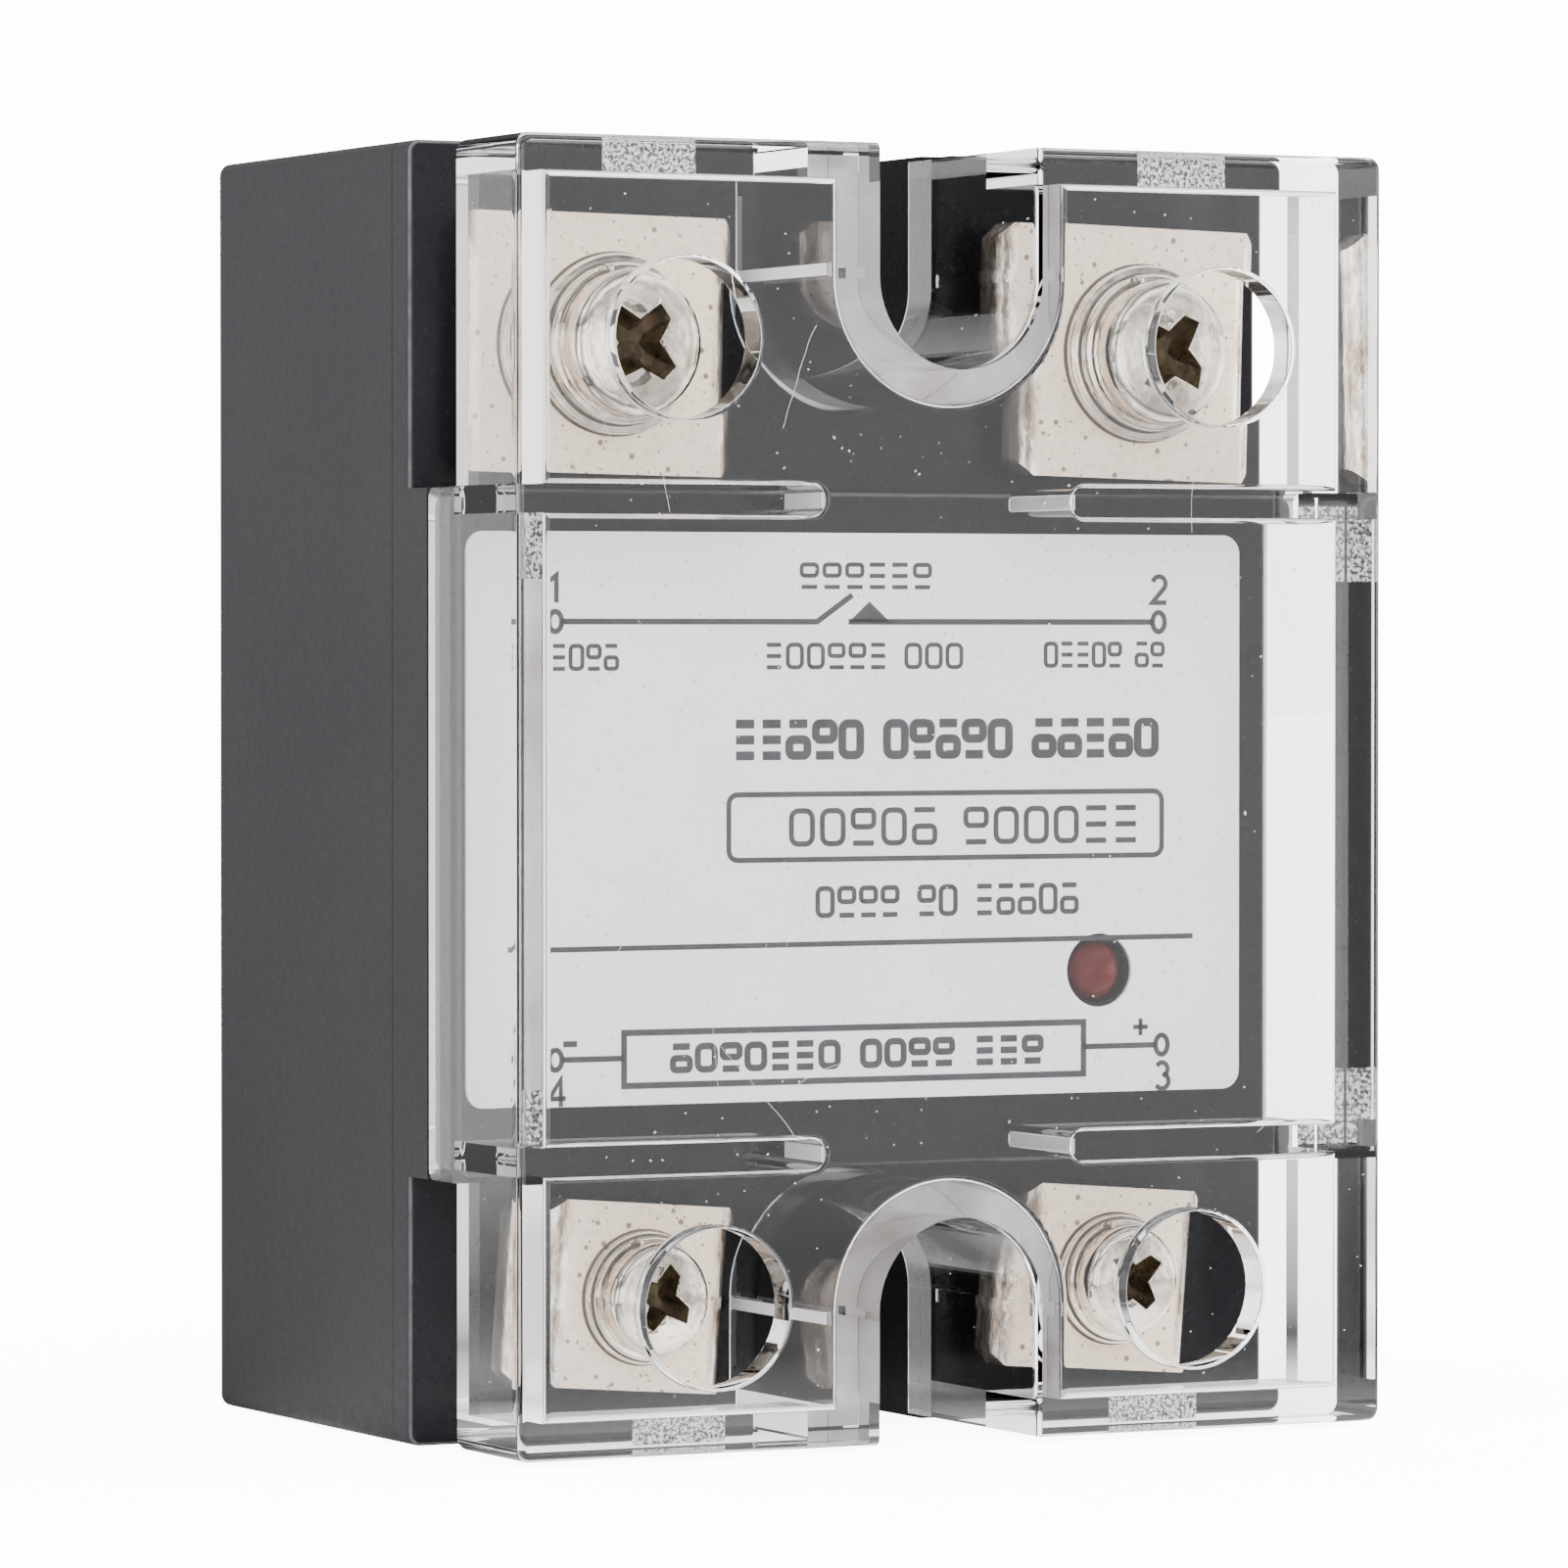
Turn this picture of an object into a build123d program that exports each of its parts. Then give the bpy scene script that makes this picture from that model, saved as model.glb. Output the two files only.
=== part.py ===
from build123d import *
import os

os.makedirs("parts", exist_ok=True)

# Solid state relay, millimetres. The back mounting face is Y = 0, the front faces -Y, +Z is up
# along the long side, and the origin is the centre of the back face. Depths below are measured
# from the front face of the cover towards the back.

# Overall
width = 45.0
housing_height = 60.4
cover_height = 59.8
overall_depth = 34.4
mount_offset = 23.8
mount_hole_radius = 2.25

# Cover
panel = 1.8
wall = 1.6
notch_radius = 4.25
root_fillet = 0.3
edge_fillet = 0.15
end_wall_depth = 6.7
skirt_depth = 9.8
skirt_low = -17.7
skirt_high = 14.1
skirt_fillet = 0.5
side_draft = 0.2
notch_wall_depth = 13.4
bead_width = 0.65
bead_height = 0.2
driver_hole_radius = 3.65
rib_levels = (13.5, -16.5)
rib_half = 0.65
rib_inner_x = 6.5
rib_depth = 8.2
rib_end_fillet = 0.6

# Housing
label_face_depth = 8.3
rim_depth = 10.0
ledge_depth = 12.0
ledge_wall = 2.0
channel_radius = 5.0
channel_wall = 1.5
seat_radius = 6.0
seat_depth = 13.5
block_half_x = 20.6
block_low = -17.6
block_high = 14.0
cavity_half_x = 20.9
cavity_half_z = 28.6
base_thickness = 3.0
base_half_x = 21.4
base_half_z = 29.1
base_gap = 0.1

# Terminals, upper pair are the M4 load screws, lower pair the M3 control screws
clamp_face_depth = 8.6
clamp_thickness = 0.9
clamp_flange_depth = 10.6
pad_depths = (9.5, 10.5)
running_gap = 0.06
terminals = {
    "1": dict(x=-13.95, z=20.75, size="m4", turn=1.0),
    "2": dict(x=13.95, z=20.75, size="m4", turn=1.5),
    "3": dict(x=12.45, z=-23.35, size="m3", turn=4.5),
    "4": dict(x=-12.45, z=-23.35, size="m3", turn=4.5),
}
sizes = {
    "m4": dict(
        shank=1.97, shank_end=17.2, head=3.45, head_depths=(5.0, 7.2), spring=3.75, spring_end=8.0,
        flat=4.2, half_x=6.4, half_z=6.0, nut_flats=7.0, nut_end=13.7, recess=(2.1, 0.5, 1.5),
        pad_x=4.5, pad_z=4.3, leg_x=3.0, leg_z=(15.3, 16.3), leg_end=30.3, boss=3.6, boss_end=18.6,
        chamfer=0.75,
    ),
    "m3": dict(
        shank=1.47, shank_end=16.0, head=2.65, head_depths=(5.9, 7.6), spring=2.9, spring_end=8.1,
        flat=3.1, half_x=4.85, half_z=4.35, nut_flats=5.5, nut_end=12.9, recess=(1.6, 0.4, 1.1),
        pad_x=3.3, pad_z=3.4, leg_x=1.5, leg_z=(-19.8, -19.1), leg_end=21.0, boss=3.0, boss_end=18.6,
        chamfer=0.7,
    ),
}

# Inside
led_x = 11.35
led_z = -8.6
led_radius = 1.5
pcb_depths = (18.8, 20.4)
resin_depth = 25.0
base_face_depth = overall_depth - base_thickness
ceramic_depths = (base_face_depth - 0.8, base_face_depth)
copper_depths = (ceramic_depths[0] - 0.3, ceramic_depths[0])
chip_depths = (copper_depths[0] - 0.4, copper_depths[0])
strap_depths = (chip_depths[0] - 0.4, chip_depths[0])
chips = ((-6.0, 12.0), (6.0, 5.0))


def block(x_span, depth_span, z_span):
    spans = (x_span, depth_span, z_span)
    size = [span[1] - span[0] for span in spans]
    middle = [(span[0] + span[1]) / 2 for span in spans]
    return Pos(middle[0], middle[1] - overall_depth, middle[2]) * Box(*size)


def rod(radius, x, z, depth_span):
    length = depth_span[1] - depth_span[0]
    middle = (depth_span[0] + depth_span[1]) / 2 - overall_depth
    return Pos(x, middle, z) * Rot(90, 0, 0) * Cylinder(radius, length)


def rod_x(radius, x_span, depth, z):
    middle = (x_span[0] + x_span[1]) / 2
    length = x_span[1] - x_span[0]
    return Pos(middle, depth - overall_depth, z) * Rot(0, 90, 0) * Cylinder(radius, length)


def hex_prism(flats, x, z, depth_span):
    length = depth_span[1] - depth_span[0]
    outline = RegularPolygon(flats / 2, 6, major_radius=False, rotation=30)
    prism = extrude(Plane.XZ * outline, amount=length)
    return Pos(x, depth_span[1] - overall_depth, z) * prism


def notch(radius, side, depth_span, reach):
    ends = sorted((side * mount_offset, side * reach))
    straight = block((-radius, radius), depth_span, ends)
    return straight + rod(radius, 0, side * mount_offset, depth_span)


def mirrored(solid):
    return solid + mirror(solid, about=Plane.YZ)


def save(name, shape):
    export_step(shape, "parts/" + name + ".step")


# ---------------------------------------------------------------- cover
half_w = width / 2
half_c = cover_height / 2
side_points = [
    (0, -half_c), (end_wall_depth, -half_c), (end_wall_depth, skirt_low), (skirt_depth, skirt_low),
    (skirt_depth, skirt_high), (end_wall_depth, skirt_high), (end_wall_depth, half_c), (0, half_c),
]
side_profile = make_face(
    Plane.YZ * Polyline([(d - overall_depth, z) for d, z in side_points], close=True)
)
skirt_corners = side_profile.vertices().filter_by(
    lambda v: abs(v.Y - (skirt_depth - overall_depth)) < 0.01
)
cover = extrude(fillet(skirt_corners, skirt_fillet), amount=half_w, both=True)
corner_edges = cover.edges().filter_by(Axis.Y).filter_by(lambda e: abs(e.center().Z) > half_c - 1)
cover = fillet(corner_edges, 0.6)
cover = fillet(cover.faces().sort_by(Axis.Y)[0].edges(), 0.35)
inner_half_w = half_w - wall
inside_points = [
    (inner_half_w - side_draft, panel), (inner_half_w, skirt_depth), (inner_half_w, overall_depth),
    (-inner_half_w, overall_depth), (-inner_half_w, skirt_depth), (side_draft - inner_half_w, panel),
]
inside_profile = make_face(
    Plane.XY * Polyline([(x, d - overall_depth) for x, d in inside_points], close=True)
)
cover -= extrude(inside_profile, amount=half_c - wall, both=True)
for side in (1, -1):
    cover += notch(notch_radius + wall, side, (panel - 0.2, notch_wall_depth), half_c)
    cover -= notch(notch_radius, side, (-1, overall_depth), half_c + 2)
for level in rib_levels:
    rib = block(
        (rib_inner_x, half_w - wall + 0.2), (panel - 0.2, rib_depth), (level - rib_half, level + rib_half)
    )
    rib = fillet(rib.edges().filter_by(Axis.Y).sort_by(Axis.X)[:2], rib_end_fillet)
    cover += mirrored(rib)
panel_y = panel - overall_depth
inner_panel = cover.faces().filter_by(Axis.Y).sort_by(lambda f: abs(f.center().Y - panel_y))[0]
cover = fillet(inner_panel.edges(), root_fillet)
for item in terminals.values():
    cover -= rod(driver_hole_radius, item["x"], item["z"] + 0.05, (-1, panel + 1))
round_edges = cover.edges().filter_by(GeomType.CIRCLE)
rims = round_edges.filter_by(lambda e: abs(e.radius - driver_hole_radius) < 0.01)
cover = fillet(rims, edge_fillet)
outer_notch = notch_radius + wall
for side in (1, -1):
    bead = block(
        (-outer_notch - bead_height, 0.1 - outer_notch),
        (panel + 2 * root_fillet, ledge_depth - 0.25),
        sorted((side * mount_offset, side * (mount_offset + bead_width))),
    )
    cover += mirrored(bead)
save("cover", cover)

# ---------------------------------------------------------------- housing
half_h = housing_height / 2
shell = block((-half_w, half_w), (ledge_depth, overall_depth), (-half_h, half_h))
shell = fillet(shell.edges().filter_by(Axis.Y), 0.6)
shell = fillet(shell.faces().sort_by(Axis.Y)[0].edges(), 0.25)
shell += block(
    (-half_w, half_w), (rim_depth, ledge_depth + 0.4), (skirt_low, skirt_high)
)
label_block = block(
    (-block_half_x, block_half_x), (label_face_depth, ledge_depth + 0.4), (block_low, block_high)
)
label_block = fillet(label_block.edges().filter_by(Axis.Y), 0.8)
label_block = fillet(label_block.faces().sort_by(Axis.Y)[0].edges(), 0.3)
housing = shell + label_block
cavity = block(
    (-cavity_half_x, cavity_half_x),
    (ledge_depth + ledge_wall, base_face_depth + 1),
    (-cavity_half_z, cavity_half_z),
)
for side in (1, -1):
    cavity -= notch(channel_radius + channel_wall, side, (0, overall_depth), half_h + 1)
cavity += block(
    (1.6 - block_half_x, block_half_x - 1.6),
    (label_face_depth + 1.7, ledge_depth + ledge_wall + 0.5),
    (block_low + 1.6, block_high - 1.6),
)
housing -= cavity
for item in terminals.values():
    s = sizes[item["size"]]
    x, z = item["x"], item["z"]
    away = 1 if z > 0 else -1
    leg_far = s["leg_z"][1] if away > 0 else s["leg_z"][0]
    post_z = sorted((leg_far + away * 0.1, z + away * s["pad_z"]))
    housing += block((x - s["pad_x"], x + s["pad_x"]), (pad_depths[1], ledge_depth + 0.5), post_z)
    housing += rod(s["boss"], x, z, (ledge_depth + 0.5, s["boss_end"]))
for item in terminals.values():
    s = sizes[item["size"]]
    x, z = item["x"], item["z"]
    housing -= hex_prism(s["nut_flats"] + 0.1, x, z, (pad_depths[1] - 1, s["nut_end"] + 0.05))
    housing -= rod(s["shank"] + 0.35, x, z, (ledge_depth, s["shank_end"] + 0.5))
    housing -= block(
        (x - s["leg_x"] - 0.1, x + s["leg_x"] + 0.1),
        (ledge_depth - 0.1, ledge_depth + ledge_wall + 0.1),
        (s["leg_z"][0] - 0.1, s["leg_z"][1] + 0.1),
    )
housing -= block(
    (-base_half_x - base_gap, base_half_x + base_gap),
    (base_face_depth, overall_depth + 1),
    (-base_half_z - base_gap, base_half_z + base_gap),
)
for side in (1, -1):
    housing -= notch(channel_radius, side, (0, overall_depth + 1), half_h + 2)
    housing -= notch(seat_radius, side, (0, seat_depth), half_h + 2)
housing -= rod(led_radius + 0.1, led_x, led_z, (label_face_depth - 1, label_face_depth + 3))
save("housing", housing)

# ---------------------------------------------------------------- base plate
base = block(
    (-base_half_x, base_half_x), (base_face_depth, overall_depth), (-base_half_z, base_half_z)
)
base = chamfer(base.faces().sort_by(Axis.Y)[-1].edges(), 0.3)
for side in (1, -1):
    base -= rod(mount_hole_radius, 0, side * mount_offset, (base_face_depth - 1, overall_depth + 1))
save("base_plate", base)

# ---------------------------------------------------------------- label
label_sketch = Pos(-0.6, -1.15) * RectangleRounded(39.2, 26.5, 0.9)
label = extrude(Plane.XZ * label_sketch, amount=0.2)
label = Pos(0, label_face_depth - overall_depth, 0) * label
label -= rod(led_radius + 0.25, led_x, led_z, (label_face_depth - 1, label_face_depth + 1))
save("label_plate", label)

# ---------------------------------------------------------------- terminals
embedded = []
for name, item in terminals.items():
    s = sizes[item["size"]]
    x, z = item["x"], item["z"]
    bore = s["shank"] + running_gap
    head_front, head_back = s["head_depths"]

    head = rod(s["head"], x, z, (head_front, head_back))
    head = fillet(head.faces().sort_by(Axis.Y)[0].edges(), 0.55)
    arm, half_slot, deep = s["recess"]
    recess = block((x - arm, x + arm), (head_front - 1, head_front + deep), (z - half_slot, z + half_slot))
    recess += block((x - half_slot, x + half_slot), (head_front - 1, head_front + deep), (z - arm, z + arm))
    recess = Pos(x, 0, z) * Rot(0, 40 + 7 * int(name), 0) * Pos(-x, 0, -z) * recess
    screw = head - recess + rod(s["shank"], x, z, (head_back - 0.1, s["shank_end"]))
    screw = chamfer(screw.faces().sort_by(Axis.Y)[-1].edges(), 0.4)
    save("terminal_screw_" + name, screw)

    spring = rod(s["spring"], x, z, (head_back, s["spring_end"])) - rod(bore, x, z, (0, 20))
    split = Rot(0, 0, 20) * Box(0.35, 4, 2 * s["spring"])
    spring -= Pos(x, head_back - overall_depth, z + s["spring"]) * split
    save("spring_washer_" + name, spring)

    flat = rod(s["flat"], x, z, (s["spring_end"], clamp_face_depth)) - rod(bore, x, z, (0, 20))
    save("flat_washer_" + name, flat)

    outer = block(
        (-s["half_x"], s["half_x"]), (clamp_face_depth, clamp_flange_depth), (-s["half_z"], s["half_z"])
    )
    front = outer.faces().sort_by(Axis.Y)[0]
    outer = fillet(front.edges().filter_by(Axis.Z), 1.3)
    under = block(
        (clamp_thickness - s["half_x"], s["half_x"] - clamp_thickness),
        (clamp_face_depth + clamp_thickness, clamp_flange_depth + 1),
        (-s["half_z"] - 1, s["half_z"] + 1),
    )
    under = fillet(under.faces().sort_by(Axis.Y)[0].edges().filter_by(Axis.Z), 0.5)
    outline = Rectangle(2 * s["half_x"], 2 * s["half_z"])
    outline = extrude(Plane.XZ * chamfer(outline.vertices(), s["chamfer"]), amount=40, both=True)
    clamp = (outer - under) & outline
    clamp = Pos(x, 0, z) * Rot(0, item["turn"], 0) * clamp
    clamp -= rod(bore, x, z, (0, 20))
    save("clamp_plate_" + name, clamp)

    nut = hex_prism(s["nut_flats"], x, z, (pad_depths[1], s["nut_end"])) - rod(bore, x, z, (0, 20))
    save("terminal_nut_" + name, nut)

    leg_low, leg_high = s["leg_z"]
    pad = block((x - s["pad_x"], x + s["pad_x"]), pad_depths, (z - s["pad_z"], z + s["pad_z"]))
    bridge_z = (leg_low, z) if z > 0 else (z, leg_high)
    pad += block((x - s["leg_x"], x + s["leg_x"]), pad_depths, bridge_z)
    pad += block((x - s["leg_x"], x + s["leg_x"]), (pad_depths[0], s["leg_end"]), s["leg_z"])
    pad -= rod(bore, x, z, (0, 20))
    if s["leg_end"] > resin_depth:
        foot = (s["leg_end"] - 1.0, s["leg_end"])
        pad += block((x - s["leg_x"], x + s["leg_x"]), foot, (leg_low - 3.0, leg_high))
        embedded.append(pad)
    save("terminal_pad_" + name, pad)

# ---------------------------------------------------------------- power stage
ceramic = block((-18.0, 18.0), ceramic_depths, (-8.0, 17.2))
save("ceramic_substrate", ceramic)
copper = mirrored(block((0.8, 17.2), copper_depths, (1.0, 16.8)))
copper += mirrored(block((9.0, 17.2), copper_depths, (-7.2, -1.0)))
save("copper_pads", copper)
dies = [block((x - 3, x + 3), chip_depths, (z - 3, z + 3)) for x, z in chips]
save("thyristor_chips", Compound(children=dies))
straps = []
for x, z in chips:
    far = 2.4 if x < 0 else -2.4
    strap = block(sorted((x * 1.3, far)), strap_depths, (z - 1.5, z + 1.5))
    foot = block(sorted((far, far / 2.4 * 1.4)), (strap_depths[0], copper_depths[0]), (z - 1.5, z + 1.5))
    straps.append(strap + foot)
save("chip_straps", Compound(children=straps))
leads = [
    rod(0.4, x + (2.2 if x > 0 else -2.2), z + (-2.2 if x > 0 else 1.9), (pcb_depths[1], chip_depths[0]))
    for x, z in chips
]
save("gate_leads", Compound(children=leads))
embedded += [ceramic, copper] + dies + straps + leads
resin = block((-20.85, 20.85), (resin_depth, base_face_depth), (-28.55, 28.55))
for side in (1, -1):
    resin -= notch(channel_radius + channel_wall + 0.05, side, (0, overall_depth), half_h)
for piece in embedded:
    resin -= piece
save("potting_resin", resin)

# ---------------------------------------------------------------- control board
board = block((-18.5, 18.5), pcb_depths, (-20.1, 14.5))
board -= notch(channel_radius + channel_wall + 0.3, -1, (pcb_depths[0] - 1, pcb_depths[1] + 1), half_h)
for item in terminals.values():
    if item["size"] == "m3":
        board -= block((item["x"] - 1.6, item["x"] + 1.6), (15, 25), (-20.2, -19.0))
for side in (1, -1):
    board -= rod(0.4, led_x + side * 1.27, led_z, (15, 25))
save("control_pcb", board)

board_face = pcb_depths[0]
opto = block((-3.2, 3.2), (board_face - 3.6, board_face - 0.3), (-6.4, 1.2))
opto = chamfer(opto.faces().sort_by(Axis.Y)[0].edges(), 0.3)
for row in range(3):
    z = -5.1 + 2.54 * row
    foot = block((3.1, 4.3), (board_face - 2.2, board_face - 1.9), (z - 0.5, z + 0.5))
    foot += block((4.0, 4.3), (board_face - 2.2, board_face), (z - 0.25, z + 0.25))
    opto += mirrored(foot)
save("optocoupler", opto)

transistor = rod(2.3, -12.0, -9.0, (board_face - 5.0, board_face - 0.6))
transistor -= block((-15, -9), (0, 30), (-12.0, -10.4))
for step in (-1.27, 0, 1.27):
    transistor += rod(0.25, -12.0 + step, -9.0, (board_face - 1.0, board_face))
save("drive_transistor", transistor)


def axial(radius, x_span, z, depth):
    body = rod_x(radius * 0.9, x_span, depth, z)
    for end in (x_span[0], x_span[1] - 1.4):
        body += rod_x(radius, (end, end + 1.4), depth, z)
    body += rod_x(0.3, (x_span[0] - 1.5, x_span[1] + 1.5), depth, z)
    for end in (x_span[0] - 1.5, x_span[1] + 1.5):
        body += rod(0.3, end, z, (depth, board_face))
    return body


small = [axial(1.1, (-8.5, -2.5), z, board_face - 1.3) for z in (-16.0, -12.6)]
small.append(axial(1.1, (-14.5, -8.5), 4.0, board_face - 1.3))
save("pcb_resistors", Compound(children=small))
save("snubber_resistor", axial(1.8, (6.5, 14.5), -2.5, board_face - 2.0))

capacitor = block((2.0, 13.0), (board_face - 8.0, board_face - 0.4), (3.2, 8.4))
capacitor = fillet(capacitor.faces().sort_by(Axis.Y)[0].edges(), 0.5)
for x in (3.8, 11.2):
    capacitor += rod(0.3, x, 5.8, (board_face - 1, board_face))
save("snubber_capacitor", capacitor)

# ---------------------------------------------------------------- indicator
led = rod(led_radius, led_x, led_z, (7.9, 13.2))
led = fillet(led.faces().sort_by(Axis.Y)[0].edges(), 1.1)
led += rod(1.9, led_x, led_z, (12.2, 13.2))
save("indicator_led", led)
pins = [
    block(
        (led_x + side * 1.27 - 0.25, led_x + side * 1.27 + 0.25),
        (13.2, pcb_depths[1] + 0.8),
        (led_z - 0.25, led_z + 0.25),
    )
    for side in (1, -1)
]
save("led_leads", Compound(children=pins))
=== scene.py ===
"""Looks of the solid state relay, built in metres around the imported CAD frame."""
import math
import random

import bmesh
import bpy
from mathutils import Matrix, Vector


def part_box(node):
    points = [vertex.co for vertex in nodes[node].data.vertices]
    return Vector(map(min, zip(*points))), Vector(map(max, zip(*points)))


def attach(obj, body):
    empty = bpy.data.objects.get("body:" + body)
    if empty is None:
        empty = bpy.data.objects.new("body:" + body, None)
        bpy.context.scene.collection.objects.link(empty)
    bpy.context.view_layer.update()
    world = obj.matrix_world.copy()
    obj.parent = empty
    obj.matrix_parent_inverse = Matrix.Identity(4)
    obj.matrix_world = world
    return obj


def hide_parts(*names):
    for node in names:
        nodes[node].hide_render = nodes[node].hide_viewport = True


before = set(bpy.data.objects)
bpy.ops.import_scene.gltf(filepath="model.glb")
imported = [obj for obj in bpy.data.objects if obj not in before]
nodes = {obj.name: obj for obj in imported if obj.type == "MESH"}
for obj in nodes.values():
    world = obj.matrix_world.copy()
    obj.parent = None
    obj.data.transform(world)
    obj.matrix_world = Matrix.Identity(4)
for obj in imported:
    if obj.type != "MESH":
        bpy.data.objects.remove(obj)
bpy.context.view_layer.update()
MM = 0.001

# ---------------------------------------------------------------- places, read from the frame
COVER_LOW, COVER_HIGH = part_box("cover")
LED_LOW, LED_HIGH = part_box("indicator_led")
FRONT = COVER_LOW.y / MM
FLOOR_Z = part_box("housing")[0].z
TERMINALS = ("1", "2", "3", "4")
# millimetres, as the cover is built: depths count back from its front face
PANEL_BACK = 1.8
NOTCH_CENTER_Z = 23.8
LINING_RADII = (4.26, 5.84)
LINING_END = (13.42, 13.46)
END_WALL_END = (6.72, 6.78)
SKIRT_END = (9.83, 9.88)
RIB_LEVELS = (13.5, -16.5)
PARTING_DEPTH = 13.9


def middle(node):
    low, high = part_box(node)
    return (low + high) / 2 / MM


# ---------------------------------------------------------------- camera, light and floor
VIEW_YAW = math.radians(26.77)
VIEW_PITCH = math.radians(1.03)
VIEW_DISTANCE = 0.385
VIEW_TARGET = Vector((-2.73, -21.63, 0.28)) * MM
LENS = 186.7
BACKDROP = 14.0
BACKDROP_BEHIND_COVER = 4.6
SOFT_LIGHT = 2.4
KEY_LIGHT = 5.2
GLOSS_LIGHT = 5.0


def add_camera():
    data = bpy.data.cameras.new("view")
    data.lens = LENS
    data.sensor_width = 36
    data.clip_start = 0.01
    data.clip_end = 50
    camera = bpy.data.objects.new("view", data)
    bpy.context.scene.collection.objects.link(camera)
    aim = Vector((
        math.sin(VIEW_YAW) * math.cos(VIEW_PITCH),
        math.cos(VIEW_YAW) * math.cos(VIEW_PITCH),
        -math.sin(VIEW_PITCH),
    ))
    camera.location = VIEW_TARGET - aim * VIEW_DISTANCE
    camera.rotation_euler = aim.to_track_quat("-Z", "Y").to_euler()
    bpy.context.scene.camera = camera


def math_node(tree, operation, *values):
    node = tree.nodes.new("ShaderNodeMath")
    node.operation = operation
    for socket, value in zip(node.inputs, values):
        if isinstance(value, (int, float)):
            socket.default_value = value
        else:
            tree.links.new(value, socket)
    return node.outputs[0]


def ramp_node(tree, value, stops):
    node = tree.nodes.new("ShaderNodeValToRGB")
    tree.links.new(value, node.inputs[0])
    ramp = node.color_ramp
    while len(ramp.elements) < len(stops):
        ramp.elements.new(0.5)
    for element, (position, color) in zip(ramp.elements, stops):
        element.position = position
        element.color = (color, color, color, 1) if isinstance(color, float) else (*color, 1)
    return node.outputs[0]


def gloss_light(tree, direction, path):
    """What reflections meet: a dim card in front on the right, bright sides, darkness behind on the left.

    Reflections inside a clear wall, having passed one to three surfaces, meet softer, brighter surroundings.
    """
    card = tree.nodes.new("ShaderNodeVectorMath")
    card.operation = "DOT_PRODUCT"
    card.inputs[1].default_value = (0.45, -0.893, 0.0)
    tree.links.new(direction, card.inputs[0])
    turn = math_node(tree, "MULTIPLY_ADD", card.outputs["Value"], 0.5, 0.5)
    crisp = ramp_node(tree, turn, (
        (0.0, 0.11), (0.2, 0.25), (0.36, 0.01), (0.5, 1.0),
        (0.64, 0.02), (0.8, 0.9), (0.94, 0.75), (0.985, 0.24),
    ))
    soft = ramp_node(tree, turn, (
        (0.0, 0.5), (0.2, 0.55), (0.36, 0.4), (0.5, 1.0),
        (0.64, 0.45), (0.8, 0.9), (0.94, 0.75), (0.985, 0.24),
    ))
    split = tree.nodes.new("ShaderNodeSeparateXYZ")
    tree.links.new(direction, split.inputs[0])
    lift = math_node(tree, "MULTIPLY_ADD", split.outputs["Z"], 0.5, 0.5)
    height = ramp_node(tree, lift, (
        (0.0, 0.1), (0.2, 0.9), (0.33, 0.02), (0.43, 1.0),
        (0.57, 1.0), (0.67, 0.02), (0.8, 1.0), (1.0, 0.2),
    ))
    soft_height = math_node(tree, "MAXIMUM", height, 0.55)
    entered = math_node(tree, "GREATER_THAN", path.outputs["Transmission Depth"], 0.5)
    left = math_node(tree, "LESS_THAN", path.outputs["Transmission Depth"], 3.5)
    within = math_node(tree, "MULTIPLY", entered, left)
    metal = math_node(tree, "MULTIPLY", crisp, height)
    glass = math_node(tree, "MULTIPLY", soft, soft_height)
    change = math_node(tree, "SUBTRACT", glass, metal)
    return math_node(tree, "MULTIPLY_ADD", within, change, metal)


def backdrop_light(tree, path):
    """Pure white straight at the camera, a little grey when seen through the clear cover."""
    through = math_node(tree, "GREATER_THAN", path.outputs["Transmission Depth"], 0.5)
    return math_node(tree, "MULTIPLY_ADD", through, BACKDROP_BEHIND_COVER - BACKDROP, BACKDROP)


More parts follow.
